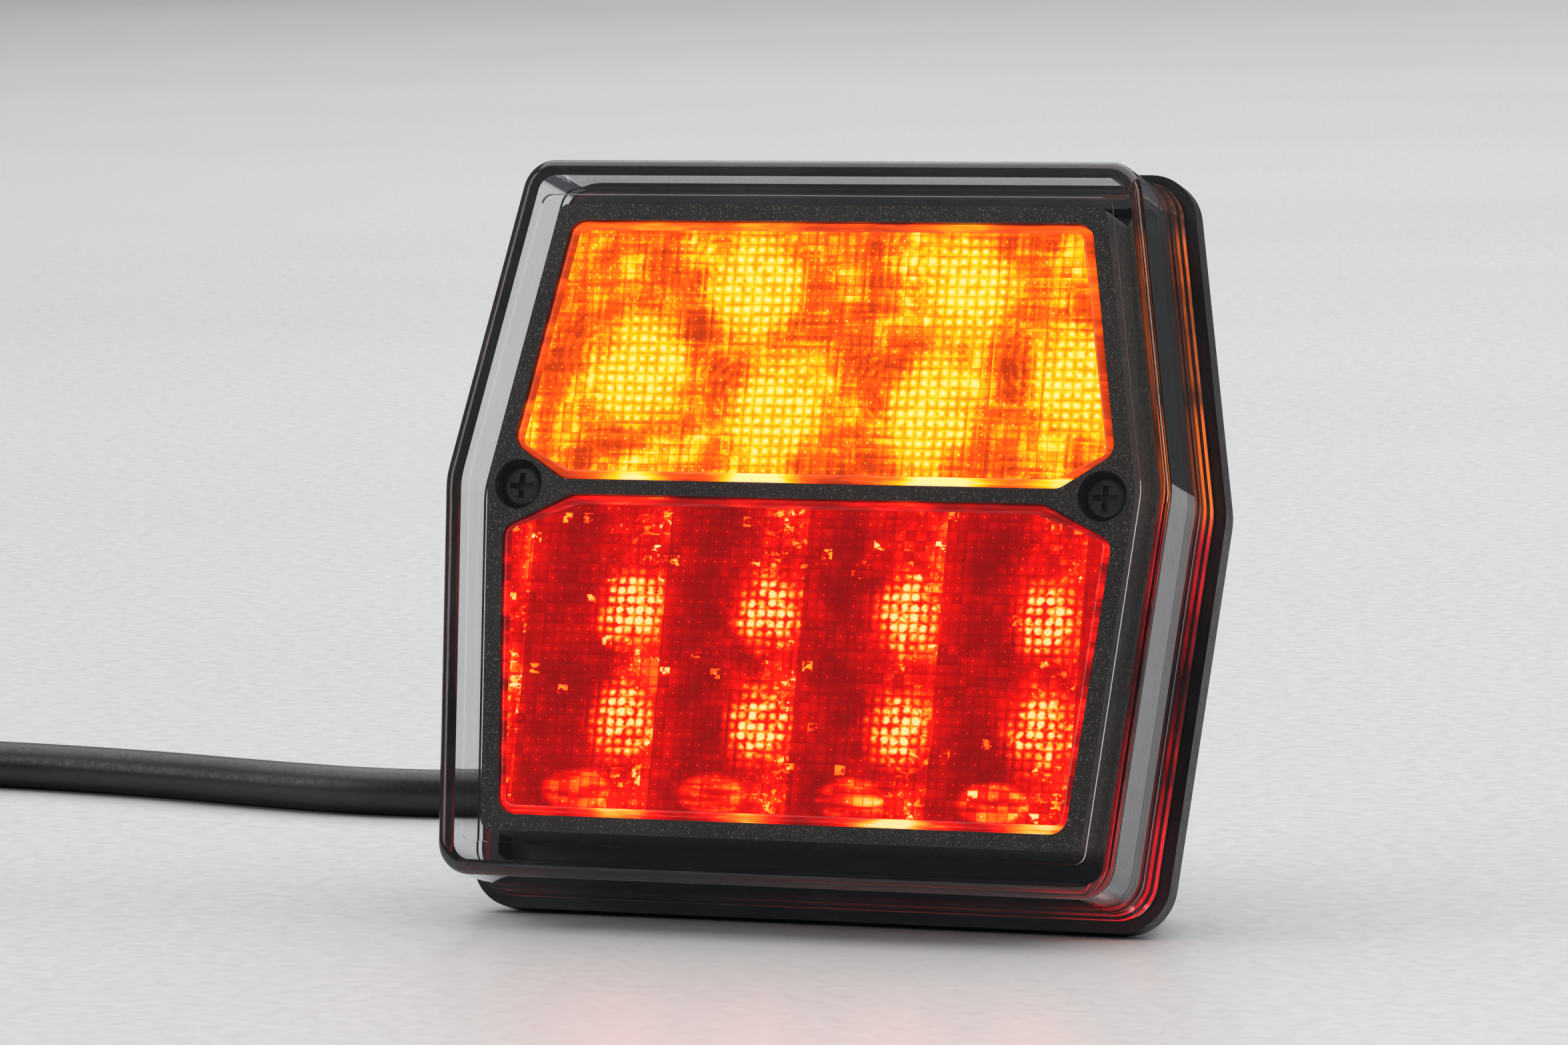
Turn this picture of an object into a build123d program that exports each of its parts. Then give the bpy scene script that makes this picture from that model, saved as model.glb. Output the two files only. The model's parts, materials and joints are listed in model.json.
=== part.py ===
from build123d import *
import math
import os

# Trailer tail light. The lamp is modelled lying on its back: +X to the right of its front,
# +Y up its face, +Z out of its back plane towards the front. It is then stood on its
# drafted lower wall, leaning back by LEAN, with +Z up and the front facing -Y.
os.makedirs("parts", exist_ok=True)

# ---------------------------------------------------------------- overall sizes
WIDTH = 104.0              # base rim, across its two side corners
HEIGHT = 99.0              # base rim, top edge to bottom edge
DEPTH = 37.0               # back plane to the front of the clear cover
TOP_WIDTH = 87.4           # base rim along its top edge
BOTTOM_WIDTH = 95.6        # base rim along its bottom edge
SIDE_CORNER_DROP = 44.8    # top edge down to the widest line
LEAN = 16.0                # degrees, the draft of the base's top and bottom walls
CORNER_R = 6.5
SIDE_CORNER_R = 10.0

# ---------------------------------------------------------------- levels above the back plane
WALL = 2.0                                 # moulded walls of the base and the cover
RIM_BACK = DEPTH - 21.0                    # back edge of the base's rim
RIM_FRONT = DEPTH - 18.0                   # the seal lies here
SEAL_T = 0.6
FLANGE_BACK = RIM_FRONT + SEAL_T           # clear cover's flange sits on the seal
FLANGE_T = 1.8
STEP_FRONT = DEPTH - 12.4                  # small step in the cover's side wall
PANEL_FRONT = DEPTH - 0.6                  # flat panel inside the cover's proud rim
PANEL_BACK = PANEL_FRONT - WALL
BEZEL_FRONT = DEPTH - 3.4
BEZEL_T = 1.6
BOARD_T = 1.6
BOARD_FRONT = DEPTH - 17.0
BOARD_BACK = BOARD_FRONT - BOARD_T

# ---------------------------------------------------------------- insets from the base rim
FLANGE_IN = 1.47
STEP_IN = 1.8
COVER_IN = 2.11
CAVITY_IN = COVER_IN + WALL
PANEL_SIDE_IN, PANEL_TOP_IN, PANEL_BOTTOM_IN = 5.8, 7.0, 6.3
UPSTAND_IN = CAVITY_IN + 0.3
UPSTAND_T = 1.2
UPSTAND_H = 4.0
NECK_IN = 1.2                              # base just behind its rim
SIDE_TAPER = 7.0                           # base side walls at the back plane
END_TAPER = RIM_BACK * math.tan(math.radians(LEAN))
BEZEL_SIDE_IN, BEZEL_TOP_IN, BEZEL_BOTTOM_IN = 7.4, 7.7, 8.2
BEZEL_SKIRT_T = 1.2
BOARD_IN = 6.1
GAP = 0.15                                 # between a lens and its window
CLEAR = 0.3                                # between stacked pieces
CUP_CLEAR = 0.1                            # between a lens and the bezel's screw cups
COVER_EDGE_R = 1.7                         # rounding of the cover's front edges
LEAST_CORNER_R = 1.5

# ---------------------------------------------------------------- lenses behind the bezel
AMBER = dict(top=34.8, top_half=35.8, side=5.1, side_half=41.3, bottom=0.6, bottom_half=34.2)
RED = dict(top=-1.7, top_half=32.5, side=-6.2, side_half=41.8, bottom=-43.7, bottom_half=38.7)
LENS_FRONT = BEZEL_FRONT - 0.2
LENS_T = 1.6
LENS_FLANGE_T = 1.2
LENS_FLANGE_W = 0.8
LENS_CORNER_R = 2.2
LENS_PLAY = 0.1                            # between a lens flange and its tray
BOTTOM_GROWTH = 0.6                        # a grown outline widens less along its bottom
TRAY_WALL = 1.0
AMBER_TRAY_WALL = 1.5
TRAY_FRONT = LENS_FRONT - LENS_T - LENS_FLANGE_T - LENS_PLAY
TRAY_BACK = BOARD_FRONT + CLEAR
TRAY_FLOOR = 1.2
POCKET_FLOOR = (8.5, 8.1)                  # bottom of each red light pocket

# ---------------------------------------------------------------- light sources
RED_PITCH_X, RED_PITCH_Y = 19.0, 14.8
RED_COLUMNS, RED_ROWS = 4, 2
RED_CENTRE_Y = -21.4
AMBER_SPOTS = [(-30.0, 17.0), (-14.6, 29.0), (-10.6, 12.6), (10.6, 12.6), (14.6, 29.0), (30.0, 17.0)]
LED_SIZE, LED_H, LED_BASE_H, LED_DOME_R = 3.0, 0.9, 0.6, 1.2
LED_HOLE_R = 2.9

# ---------------------------------------------------------------- parts on the back of the board
RESISTOR_COLUMNS, RESISTOR_ROWS = 6, 2
RESISTOR_AT, RESISTOR_STEP = (-5.0, 16.0), (7.5, 9.0)
RESISTOR_SIZE, RESISTOR_H = (3.2, 6.3), 0.7
DIODES, DIODE_AT, DIODE_STEP = 5, (-22.2, -10.0), 5.6
DIODE_SIZE, DIODE_H = (3.6, 4.6), 2.3
TERMINAL_W, TERMINAL_H, TERMINAL_END = 7.5, 6.0, 1.5

# ---------------------------------------------------------------- fasteners
SCREW_X, SCREW_Y = 40.2, -0.4
RECESS_R, RECESS_DEPTH = 3.3, 3.2
CUP_WALL, CUP_FLOOR = 0.5, 1.4
SCREW_R, SCREW_HEAD_R, SCREW_HEAD_H, SCREW_LENGTH = 1.45, 2.9, 1.9, 12.0
SCREW_CLEAR, BOARD_SCREW_CLEAR = 0.25, 0.1
HEAD_DOME, CROSS_FLOOR = 0.45, 0.4         # shares of a screw head's height
CROSS_LENGTH, CROSS_WIDTH = 1.15, 0.28     # shares of a screw head's radius
TOWER_R = 3.2
PILLARS = [(-31.0, 31.5), (31.0, 31.5), (-37.0, -41.0), (37.0, -41.0)]
PILLAR_R = 2.8
BOARD_SCREW_R, BOARD_SCREW_HEAD_R, BOARD_SCREW_HEAD_H, BOARD_SCREW_LENGTH = 0.9, 1.7, 1.2, 6.0
STUD_SPACING = 45.0
STUD_R, STUD_LENGTH, STUD_CHAMFER = 2.5, 18.0, 0.6
STUD_NECK_R = 2.9                          # splined neck, pressed into its pad
STUD_HEAD_AF, STUD_HEAD_H = 8.0, 3.5
STUD_PAD_R, STUD_PAD_T = 6.5, 4.0

# ---------------------------------------------------------------- cable and plug
CABLE_R = 3.4
EXIT_X, EXIT_Y = -16.6, -26.0
GROMMET_R, GROMMET_FLANGE_R, GROMMET_FLANGE_T = 6.0, 8.0, 2.0
TAIL_LENGTH, TAIL_TIP_R = 18.0, 4.7
TAIL_GROOVES, TAIL_PITCH, TAIL_GROOVE_W, TAIL_GROOVE_DEPTH = 4, 3.6, 1.4, 0.4
TAIL_FIRST_GROOVE = 0.8                    # of a pitch from the tail's tip
CORE_R = 0.7
CORE_PITCH = 3.5
CORE_IN, CORE_CLEAR, CORE_STOP = 3.0, 0.25, 0.5
CORE_STRAIGHT, CORE_BEND = 0.8, 0.35
CORES = {                                  # each core's place across the sheath's end
    "core_green": (0.0, 1.9),
    "core_brown": (1.75, 0.55),
    "core_white": (-1.75, 0.55),
    "core_red": (1.1, -1.55),
    "core_yellow": (-1.1, -1.55),
}
SHEATH_IN = 3.0                            # sheath's end past the grommet, inside the base
INNER_TIE_GAP, INNER_TIE_W, INNER_TIE_T = 0.2, 2.5, 1.0
INNER_TIE_HEAD, INNER_TIE_HEAD_AT = (3.6, 4.0), 1.6
TIE_T, TIE_W, TIE_SLACK = 0.8, 4.0, 0.3
TIE_HEAD, TIE_HEAD_START = (3.0, 5.0, 4.4), 0.25
TIE_ANGLE = 135.0                          # where the tie holds the coil's turns together
COIL_R = 36.0                              # middle of the coil's turns
COIL_NEST = 0.86                           # rise of a turn that rests between two, in diameters
COIL_EDGE_R = 2.7
FIRST_RUN = 16.0                           # straight out of the lamp
# the lead's runs over the floor: length, heading in degrees, height at the run's end
RUNS = [
    (17.0, 116.0, 9.3),
    (19.0, 142.0, 6.1),
    (20.0, 168.0, 4.2),
    (21.0, 196.0, CABLE_R),
    (20.0, 186.0, CABLE_R),
    (20.0, 168.0, CABLE_R),
    (20.0, 164.0, CABLE_R),
    (24.0, 170.0, CABLE_R),
    (24.0, 176.0, CABLE_R),
    (22.0, 180.0, CABLE_R + TIE_T),
]
END_RUN, END_DRIFT = 15.0, 1.0             # each of the two runs into the plug
BEND_SHARE = 0.45                          # of a run, that an arc at its end may use

# ---------------------------------------------------------------- plug
PLUG_R = 12.0
NUT_R, NUT_L = 8.6, 13.0
SOCKET_DEPTH = 3.0                         # cable's end inside the nut
BARREL_R, BARREL_L, COLLAR_T = 9.5, 40.0, 2.0
GRIPS, GRIP_START, GRIP_PITCH, GRIP_W, GRIP_DEPTH = 4, 2.5, 3.4, 1.4, 0.6
RING_FIT, RING_L = 0.08, 17.0
RING_R = PLUG_R - 0.4
FLUTES, FLUTE_R, FLUTE_OUT, FLUTE_STOP = 12, 1.3, 0.5, 3.0
KEYWAYS, KEYWAY_W, KEYWAY_L, KEYWAY_DEPTH = 2, 3.2, 6.5, 2.5
LIP_T, LIP_R = 1.2, 10.5
INSERT_WALL, INSERT_BACK, INSERT_SUNK = 1.6, 3.0, 0.4
CONTACT_CIRCLE, CONTACT_R, CONTACT_L, CONTACT_SUNK = 5.2, 1.6, 12.0, 0.6
CONTACT_BORE, CONTACT_BACK = 1.1, 3.0


# ---------------------------------------------------------------- outlines
def half_width(y):
    """Half the base rim's width at height y on the lamp's face."""
    top, bottom = SIDE_CORNER_DROP, SIDE_CORNER_DROP - HEIGHT
    if y > 0:
        return WIDTH / 2 + (TOP_WIDTH - WIDTH) / 2 * y / top
    return WIDTH / 2 + (BOTTOM_WIDTH - WIDTH) / 2 * y / bottom


def hexagon(side_in, top_in, bottom_in):
    """The six sharp corners of the rim's outline, moved inwards."""
    top = SIDE_CORNER_DROP - top_in
    bottom = SIDE_CORNER_DROP - HEIGHT + bottom_in
    right = [(half_width(y) - side_in, y) for y in (top, 0.0, bottom)]
    left = [(-x, y) for x, y in reversed(right)]
    return right + left


def rounded(points, corner_r, side_r, z):
    """A face on six points, at height z, with its four end and two side corners rounded."""
    flat = make_face(Polyline(*points, close=True))
    ends, sides = [], []
    for corner in flat.vertices():
        widest = max(abs(v.X) for v in flat.vertices())
        if abs(abs(corner.X) - widest) < 0.01:
            sides.append(corner)
        else:
            ends.append(corner)
    flat = fillet(ends, corner_r)
    widest = [v for v in flat.vertices() if abs(abs(v.X) - widest) < 0.01]
    return Pos(0, 0, z) * fillet(widest, side_r)


def outline(inset, z, top_in=None, bottom_in=None):
    top_in = inset if top_in is None else top_in
    bottom_in = inset if bottom_in is None else bottom_in
    corner = max(CORNER_R - inset, LEAST_CORNER_R)
    return rounded(hexagon(inset, top_in, bottom_in), corner, SIDE_CORNER_R, z)


def prism(inset, low, high, top_in=None, bottom_in=None):
    return extrude(outline(inset, low, top_in, bottom_in), high - low, dir=(0, 0, 1))


def window(shape, grow, low, high):
    """A solid on a lens window's outline, grown outwards by grow."""
    up = 1 if shape["top"] > shape["bottom"] else -1
    right = [
        (shape["top_half"] + grow, shape["top"] + up * grow),
        (shape["side_half"] + grow, shape["side"]),
        (shape["bottom_half"] + grow * BOTTOM_GROWTH, shape["bottom"] - up * grow),
    ]
    left = [(-x, y) for x, y in reversed(right)]
    flat = rounded(right + left, LENS_CORNER_R + grow, LENS_CORNER_R + grow, low)
    return extrude(flat, high - low, dir=(0, 0, 1))


def rod(x, y, low, high, radius):
    return Pos(x, y, low) * Cylinder(radius, high - low, align=(Align.CENTER, Align.CENTER, Align.MIN))


def block(x, y, low, high, size_x, size_y):
    return Pos(x, y, low) * Box(size_x, size_y, high - low, align=(Align.CENTER, Align.CENTER, Align.MIN))


def cone(x, y, low, high, low_r, high_r):
    return Pos(x, y, low) * Cone(low_r, high_r, high - low, align=(Align.CENTER, Align.CENTER, Align.MIN))


def group(shapes):
    """Separate solids kept together as one node."""
    return Compound([solid for shape in shapes for solid in shape.solids()])


nodes = {}

# ---------------------------------------------------------------- base housing
screws_at = [(-SCREW_X, SCREW_Y), (SCREW_X, SCREW_Y)]
studs_at = [(-STUD_SPACING / 2, 0.0), (STUD_SPACING / 2, 0.0)]
cup_bottom = BEZEL_FRONT - RECESS_DEPTH - CUP_FLOOR

rim = prism(0, RIM_BACK, RIM_FRONT)
body = loft([outline(NECK_IN, RIM_BACK), outline(SIDE_TAPER, 0, END_TAPER, END_TAPER)])
upstand = prism(UPSTAND_IN, RIM_FRONT, RIM_FRONT + UPSTAND_H)
inner = UPSTAND_IN + UPSTAND_T
cavity_low = loft([
    outline(inner, RIM_BACK),
    outline(SIDE_TAPER + WALL, WALL, END_TAPER + WALL, END_TAPER + WALL),
])
cavity_high = prism(inner, RIM_BACK, RIM_FRONT + UPSTAND_H + 1)
housing = rim + body + upstand - cavity_low - cavity_high
for x, y in screws_at:
    housing += rod(x, y, WALL / 2, cup_bottom, TOWER_R)
    housing -= rod(x, y, cup_bottom + CUP_FLOOR - SCREW_LENGTH, cup_bottom + 1, SCREW_R)
for x, y in PILLARS:
    housing += rod(x, y, WALL / 2, BOARD_BACK, PILLAR_R)
    housing -= rod(x, y, BOARD_FRONT - BOARD_SCREW_LENGTH, BOARD_BACK + 1, BOARD_SCREW_R)
for x, y in studs_at:
    housing += rod(x, y, WALL / 2, STUD_PAD_T, STUD_PAD_R)
    housing -= rod(x, y, -1, STUD_PAD_T + 1, STUD_NECK_R)
housing -= rod(EXIT_X, EXIT_Y, -1, WALL + 1, GROMMET_R)
nodes["rear_housing"] = housing

# ---------------------------------------------------------------- seal and clear cover
seal = prism(FLANGE_IN + CLEAR, RIM_FRONT, FLANGE_BACK) - prism(CAVITY_IN, RIM_FRONT - 1, FLANGE_BACK + 1)
nodes["cover_seal"] = seal

cover = prism(COVER_IN, FLANGE_BACK, DEPTH)
front_edges = cover.faces().sort_by(Axis.Z)[-1].edges()
cover = fillet(front_edges, COVER_EDGE_R)
cover += prism(STEP_IN, FLANGE_BACK, STEP_FRONT)
cover += prism(FLANGE_IN, FLANGE_BACK, FLANGE_BACK + FLANGE_T)
recess = prism(PANEL_SIDE_IN, PANEL_FRONT, DEPTH + 1, PANEL_TOP_IN, PANEL_BOTTOM_IN)
cover -= recess
cover -= prism(CAVITY_IN, FLANGE_BACK - 1, PANEL_BACK)
nodes["clear_cover"] = cover

# ---------------------------------------------------------------- bezel
bezel_outer = prism(BEZEL_SIDE_IN, TRAY_BACK, BEZEL_FRONT, BEZEL_TOP_IN, BEZEL_BOTTOM_IN)
bezel_inner = prism(
    BEZEL_SIDE_IN + BEZEL_SKIRT_T,
    TRAY_BACK - 1,
    BEZEL_FRONT - BEZEL_T,
    BEZEL_TOP_IN + BEZEL_SKIRT_T,
    BEZEL_BOTTOM_IN + BEZEL_SKIRT_T,
)
bezel = bezel_outer - bezel_inner
bezel -= window(AMBER, GAP, BEZEL_FRONT - BEZEL_T - 1, BEZEL_FRONT + 1)
bezel -= window(RED, GAP, BEZEL_FRONT - BEZEL_T - 1, BEZEL_FRONT + 1)
for x, y in screws_at:
    bezel += rod(x, y, cup_bottom, BEZEL_FRONT, RECESS_R + CUP_WALL)
    bezel -= rod(x, y, BEZEL_FRONT - RECESS_DEPTH, BEZEL_FRONT + 1, RECESS_R)
    bezel -= rod(x, y, cup_bottom - 1, BEZEL_FRONT, SCREW_R + SCREW_CLEAR)
    bezel -= rod(x, y, TRAY_BACK - 1, cup_bottom, TOWER_R + CLEAR)
nodes["bezel"] = bezel


# ---------------------------------------------------------------- coloured lenses and light trays
def coloured_lens(shape):
    plate = window(shape, 0, LENS_FRONT - LENS_T, LENS_FRONT)
    flange = window(shape, LENS_FLANGE_W, LENS_FRONT - LENS_T - LENS_FLANGE_T, LENS_FRONT - LENS_T)
    lens = plate + flange
    for x, y in screws_at:
        lens -= rod(x, y, TRAY_FRONT - 1, LENS_FRONT + 1, RECESS_R + CUP_WALL + CUP_CLEAR)
    return lens


def light_tray(shape):
    tray = window(shape, 0, TRAY_BACK, TRAY_FRONT)
    for x, y in screws_at:
        tray -= rod(x, y, TRAY_BACK - 1, TRAY_FRONT + 1, RECESS_R + CUP_WALL + CLEAR)
    head_top = BOARD_FRONT + BOARD_SCREW_HEAD_H
    for x, y in PILLARS:
        tray -= rod(x, y, TRAY_BACK - 1, head_top + CLEAR, BOARD_SCREW_HEAD_R + CLEAR)
    return tray


nodes["amber_lens"] = coloured_lens(AMBER)
nodes["red_lens"] = coloured_lens(RED)

amber_tray = light_tray(AMBER) - window(AMBER, -AMBER_TRAY_WALL, TRAY_BACK + TRAY_FLOOR, TRAY_FRONT + 1)
for x, y in screws_at:
    post = rod(x, y, TRAY_BACK, TRAY_FRONT, RECESS_R + CUP_WALL + CLEAR + TRAY_WALL)
    post &= light_tray(AMBER)
    amber_tray += post
for x, y in AMBER_SPOTS:
    amber_tray -= rod(x, y, TRAY_BACK - 1, TRAY_FRONT, LED_HOLE_R)
nodes["amber_tray"] = amber_tray

red_tray = light_tray(RED)
red_spots = []
for column in range(RED_COLUMNS):
    for row in range(RED_ROWS):
        x = (column - (RED_COLUMNS - 1) / 2) * RED_PITCH_X
        y = RED_CENTRE_Y + (row - (RED_ROWS - 1) / 2) * RED_PITCH_Y
        red_spots.append((x, y))
        wide = Rectangle(RED_PITCH_X - TRAY_WALL, RED_PITCH_Y - TRAY_WALL)
        narrow = Rectangle(*POCKET_FLOOR)
        pocket = loft([
            Pos(x, y, TRAY_FRONT) * wide,
            Pos(x, y, TRAY_BACK + TRAY_FLOOR) * narrow,
        ])
        red_tray -= pocket
        red_tray -= rod(x, y, TRAY_BACK - 1, TRAY_FRONT, LED_HOLE_R)
nodes["red_tray"] = red_tray

# ---------------------------------------------------------------- circuit board and what is on it
board = prism(BOARD_IN, BOARD_BACK, BOARD_FRONT)
for x, y in screws_at:
    board -= rod(x, y, BOARD_BACK - 1, BOARD_FRONT + 1, TOWER_R + CLEAR)
for x, y in PILLARS:
    board -= rod(x, y, BOARD_BACK - 1, BOARD_FRONT + 1, BOARD_SCREW_R + BOARD_SCREW_CLEAR)
nodes["led_board"] = board


def led(x, y):
    base = block(x, y, BOARD_FRONT, BOARD_FRONT + LED_BASE_H, LED_SIZE, LED_SIZE)
    return base + rod(x, y, BOARD_FRONT, BOARD_FRONT + LED_H, LED_DOME_R)


nodes["amber_leds"] = group([led(x, y) for x, y in AMBER_SPOTS])
nodes["red_leds"] = group([led(x, y) for x, y in red_spots])

resistors = []
for column in range(RESISTOR_COLUMNS):
    for row in range(RESISTOR_ROWS):
        x = RESISTOR_AT[0] + column * RESISTOR_STEP[0]
        y = RESISTOR_AT[1] + row * RESISTOR_STEP[1]
        resistors.append(block(x, y, BOARD_BACK - RESISTOR_H, BOARD_BACK, *RESISTOR_SIZE))
nodes["resistors"] = group(resistors)
diodes = []
for i in range(DIODES):
    x = DIODE_AT[0] + i * DIODE_STEP
    diodes.append(block(x, DIODE_AT[1], BOARD_BACK - DIODE_H, BOARD_BACK, *DIODE_SIZE))
nodes["diodes"] = group(diodes)

terminal_bottom = BOARD_BACK - TERMINAL_H
terminal_length = len(CORES) * CORE_PITCH + TERMINAL_END
terminals = block(EXIT_X, EXIT_Y, terminal_bottom, BOARD_BACK, TERMINAL_W, terminal_length)
core_y = [((len(CORES) - 1) / 2 - i) * CORE_PITCH for i in range(len(CORES))]
for dy in core_y:
    hole = rod(EXIT_X, EXIT_Y + dy, terminal_bottom - 1, terminal_bottom + CORE_IN, CORE_R + CORE_CLEAR)
    terminals -= hole
nodes["terminal_block"] = terminals

# ---------------------------------------------------------------- screws and studs
def cross_screw(x, y, seat, shank_r, head_r, head_h, length):
    """A pan-head cross-recess screw whose head rests at height seat."""
    head = rod(x, y, seat, seat + head_h, head_r)
    head = fillet(head.edges().filter_by(GeomType.CIRCLE).sort_by(Axis.Z)[-1], head_h * HEAD_DOME)
    screw = head + rod(x, y, seat - length, seat, shank_r)
    arm, width = head_r * CROSS_LENGTH, head_r * CROSS_WIDTH
    floor = seat + head_h * CROSS_FLOOR
    screw -= block(x, y, floor, seat + head_h + 1, arm, width)
    screw -= block(x, y, floor, seat + head_h + 1, width, arm)
    return screw


seat = BEZEL_FRONT - RECESS_DEPTH
nodes["bezel_screws"] = group([
    cross_screw(x, y, seat, SCREW_R, SCREW_HEAD_R, SCREW_HEAD_H, SCREW_LENGTH) for x, y in screws_at
])
small = (BOARD_SCREW_R, BOARD_SCREW_HEAD_R, BOARD_SCREW_HEAD_H, BOARD_SCREW_LENGTH)
nodes["board_screws"] = group([cross_screw(x, y, BOARD_FRONT, *small) for x, y in PILLARS])
studs = []
for x, y in studs_at:
    hexagonal = RegularPolygon(STUD_HEAD_AF / 2, 6, major_radius=False)
    head = Pos(x, y, STUD_PAD_T) * extrude(hexagonal, STUD_HEAD_H)
    shank = rod(x, y, -STUD_LENGTH, STUD_PAD_T, STUD_R)
    shank = chamfer(shank.edges().filter_by(GeomType.CIRCLE).sort_by(Axis.Z)[0], STUD_CHAMFER)
    neck = rod(x, y, 0, STUD_PAD_T, STUD_NECK_R)
    studs.append(head + neck + shank)
nodes["mounting_studs"] = group(studs)

# ---------------------------------------------------------------- cable entry
grommet = rod(EXIT_X, EXIT_Y, -GROMMET_FLANGE_T, WALL + GROMMET_FLANGE_T, GROMMET_R)
grommet += rod(EXIT_X, EXIT_Y, WALL, WALL + GROMMET_FLANGE_T, GROMMET_FLANGE_R)
grommet += cone(EXIT_X, EXIT_Y, -TAIL_LENGTH, -GROMMET_FLANGE_T, TAIL_TIP_R, GROMMET_R)
slope = (GROMMET_R - TAIL_TIP_R) / (TAIL_LENGTH - GROMMET_FLANGE_T)
for i in range(TAIL_GROOVES):
    from_tip = (i + TAIL_FIRST_GROOVE) * TAIL_PITCH
    z = from_tip - TAIL_LENGTH
    floor_r = TAIL_TIP_R + slope * from_tip - TAIL_GROOVE_DEPTH
    outside = rod(EXIT_X, EXIT_Y, z, z + TAIL_GROOVE_W, GROMMET_R + 1)
    grommet -= outside - rod(EXIT_X, EXIT_Y, z - 1, z + TAIL_GROOVE_W + 1, floor_r)
grommet -= rod(EXIT_X, EXIT_Y, -TAIL_LENGTH - 1, WALL + GROMMET_FLANGE_T + 1, CABLE_R)
nodes["cable_grommet"] = grommet
sheath_top = WALL + GROMMET_FLANGE_T + SHEATH_IN
nodes["cable_sheath_end"] = rod(EXIT_X, EXIT_Y, -TAIL_LENGTH, sheath_top, CABLE_R)
tie_low = WALL + GROMMET_FLANGE_T + INNER_TIE_GAP
tie_high = tie_low + INNER_TIE_W
inner_tie = rod(EXIT_X, EXIT_Y, tie_low, tie_high, CABLE_R + INNER_TIE_T)
inner_tie += block(EXIT_X + CABLE_R + INNER_TIE_HEAD_AT, EXIT_Y, tie_low, tie_high, *INNER_TIE_HEAD)
inner_tie -= rod(EXIT_X, EXIT_Y, tie_low - 1, tie_high + 1, CABLE_R)
nodes["inner_cable_tie"] = inner_tie

for (name, (x, y)), dy in zip(CORES.items(), core_y):
    start = Vector(EXIT_X + x, EXIT_Y + y, sheath_top)
    above = start + Vector(0, 0, CORE_STRAIGHT)
    end = Vector(EXIT_X, EXIT_Y + dy, terminal_bottom + CORE_IN - CORE_STOP)
    below = Vector(end.X, end.Y, terminal_bottom - CORE_STRAIGHT)
    path = FilletPolyline(start, above, below, end, radius=CORE_BEND)
    nodes[name] = sweep(Plane(start, z_dir=(0, 0, 1)) * Circle(CORE_R), path=path)

# ---------------------------------------------------------------- stand the lamp on its lower wall
lamp_nodes = list(nodes)
stand = Rot(90 - LEAN, 0, 0)
for name in lamp_nodes:
    nodes[name] = stand * nodes[name]
box = group([nodes[name] for name in lamp_nodes]).bounding_box()
set_down = Pos(-(box.min.X + box.max.X) / 2, -(box.min.Y + box.max.Y) / 2, -box.min.Z)
for name in lamp_nodes:
    nodes[name] = set_down * nodes[name]
place = set_down * stand


def placed(x, y, z):
    """A point on the standing lamp, from its place on the lamp lying on its back."""
    return (place * Pos(x, y, z)).position


def turn_of(points, i):
    return (points[i] - points[i - 1]).get_angle(points[i + 1] - points[i])


def lay_cable(name, points):
    """A round cable along straight runs joined by the largest arcs that the runs allow."""
    radii = []
    for i in range(1, len(points) - 1):
        shorter = min((points[i] - points[i - 1]).length, (points[i + 1] - points[i]).length)
        radii.append(BEND_SHARE * shorter / math.tan(math.radians(turn_of(points, i)) / 2))
    path = FilletPolyline(*points, radius=radii)
    start = Plane(points[0], z_dir=points[1] - points[0])
    tube = sweep(start * Circle(CABLE_R), path=path)
    expected = math.pi * CABLE_R ** 2 * path.length
    print(name, "length", round(path.length, 1), "volume ratio", round(tube.volume / expected, 4))
    print(name, "bend radii", [round(r, 1) for r in radii])
    nodes[name] = tube
    return path.length


# ---------------------------------------------------------------- cable along the floor
exit_point = placed(EXIT_X, EXIT_Y, -TAIL_LENGTH)
exit_way = (exit_point - placed(EXIT_X, EXIT_Y, 0)).normalized()
first = exit_point + exit_way * FIRST_RUN
route = [exit_point, first]
for run, heading, height in RUNS:
    way = math.radians(heading)
    last = route[-1]
    route.append(Vector(last.X + run * math.cos(way), last.Y + run * math.sin(way), height))
lay_cable("cable", route)

# coil of the spare length, lying flat on its tie, entered along its far side
turn_step = 2 * CABLE_R
coil_in, coil_out = COIL_R - turn_step, COIL_R + turn_step
coil_low, coil_high = TIE_T, TIE_T + turn_step * (1 + COIL_NEST)
coil_x = route[-1].X - COIL_R / 2
coil_y = route[-1].Y - (COIL_R + CABLE_R)
ring = Pos(coil_x, coil_y, coil_low) * (
    Cylinder(coil_out, coil_high - coil_low, align=(Align.CENTER, Align.CENTER, Align.MIN))
    - Cylinder(coil_in, coil_high - coil_low, align=(Align.CENTER, Align.CENTER, Align.MIN))
)
nodes["cable_coil"] = fillet(ring.edges().filter_by(GeomType.CIRCLE), COIL_EDGE_R)
print("coil centre", round(coil_x, 2), round(coil_y, 2), "from", coil_in, "to", coil_out)

coil_height = coil_high - coil_low
strap = RectangleRounded(2 * (turn_step + TIE_T), coil_height + 2 * TIE_T, COIL_EDGE_R + TIE_T)
strap -= RectangleRounded(2 * turn_step + TIE_SLACK, coil_height, COIL_EDGE_R)
tie = extrude(Plane.XZ * strap, TIE_W / 2, both=True)
tie += Pos(turn_step + TIE_HEAD_START + TIE_HEAD[0] / 2, 0, 0) * Box(*TIE_HEAD)
tie_at = Pos(coil_x, coil_y, coil_low + coil_height / 2) * Rot(0, 0, TIE_ANGLE) * Pos(COIL_R, 0, 0)
nodes["coil_tie"] = tie_at * tie

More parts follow.
